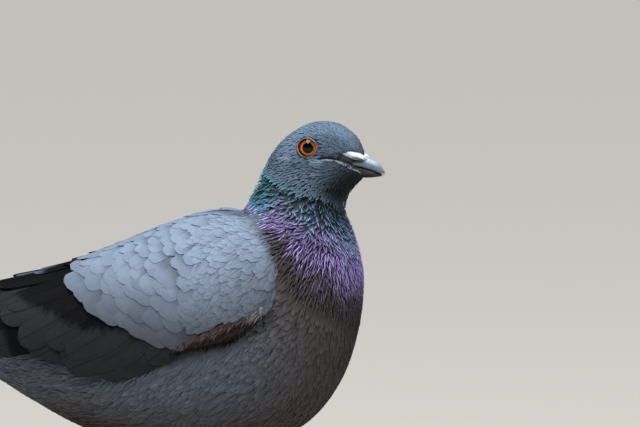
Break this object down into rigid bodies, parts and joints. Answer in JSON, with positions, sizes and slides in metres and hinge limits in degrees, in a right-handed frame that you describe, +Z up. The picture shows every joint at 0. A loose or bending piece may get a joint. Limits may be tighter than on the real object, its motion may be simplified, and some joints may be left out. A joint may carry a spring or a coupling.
{
  "type": "pigeon",
  "caption": "Life-size still rock pigeon standing on both feet, wings folded, head turned slightly to its right.",
  "frame": {"origin": "on the floor, under the middle of the part's box", "axes": "+X towards the bird's front, +Y towards its left, +Z up; the tail lies along -X"},
  "size_m": [0.261, 0.0968, 0.1972],
  "materials": {
    "body_plumage": "smooth slate-grey contour feathers",
    "neck_plumage": "iridescent green and purple neck feathers",
    "wing_plumage": "pale blue-grey wing coverts",
    "flight_plumage": "dark grey flight and tail feathers",
    "bill": "smooth grey horn",
    "cere": "powdery white swelling over the nostrils",
    "eye": "wet orange eye with a black pupil",
    "leg": "scaly red skin",
    "claw": "dark horn"
  },
  "bodies": {
    "root": {"bill_lower": "bill", "bill_upper": "bill", "cere_left": "cere", "cere_right": "cere", "eye_left": "eye", "eye_right": "eye", "head": "body_plumage", "left_claw_hind": "claw", "left_claw_inner": "claw", "left_claw_middle": "claw", "left_claw_outer": "claw", "left_shank": "leg", "left_thigh": "body_plumage", "left_toe_hind": "leg", "left_toe_inner": "leg", "left_toe_middle": "leg", "left_toe_outer": "leg", "neck": "neck_plumage", "right_claw_hind": "claw", "right_claw_inner": "claw", "right_claw_middle": "claw", "right_claw_outer": "claw", "right_shank": "leg", "right_thigh": "body_plumage", "right_toe_hind": "leg", "right_toe_inner": "leg", "right_toe_middle": "leg", "right_toe_outer": "leg", "tail": "flight_plumage", "trunk": "body_plumage", "wing_left_coverts": "wing_plumage", "wing_left_primaries": "flight_plumage", "wing_left_secondaries": "flight_plumage", "wing_right_coverts": "wing_plumage", "wing_right_primaries": "flight_plumage", "wing_right_secondaries": "flight_plumage"}
  },
  "joints": []
}
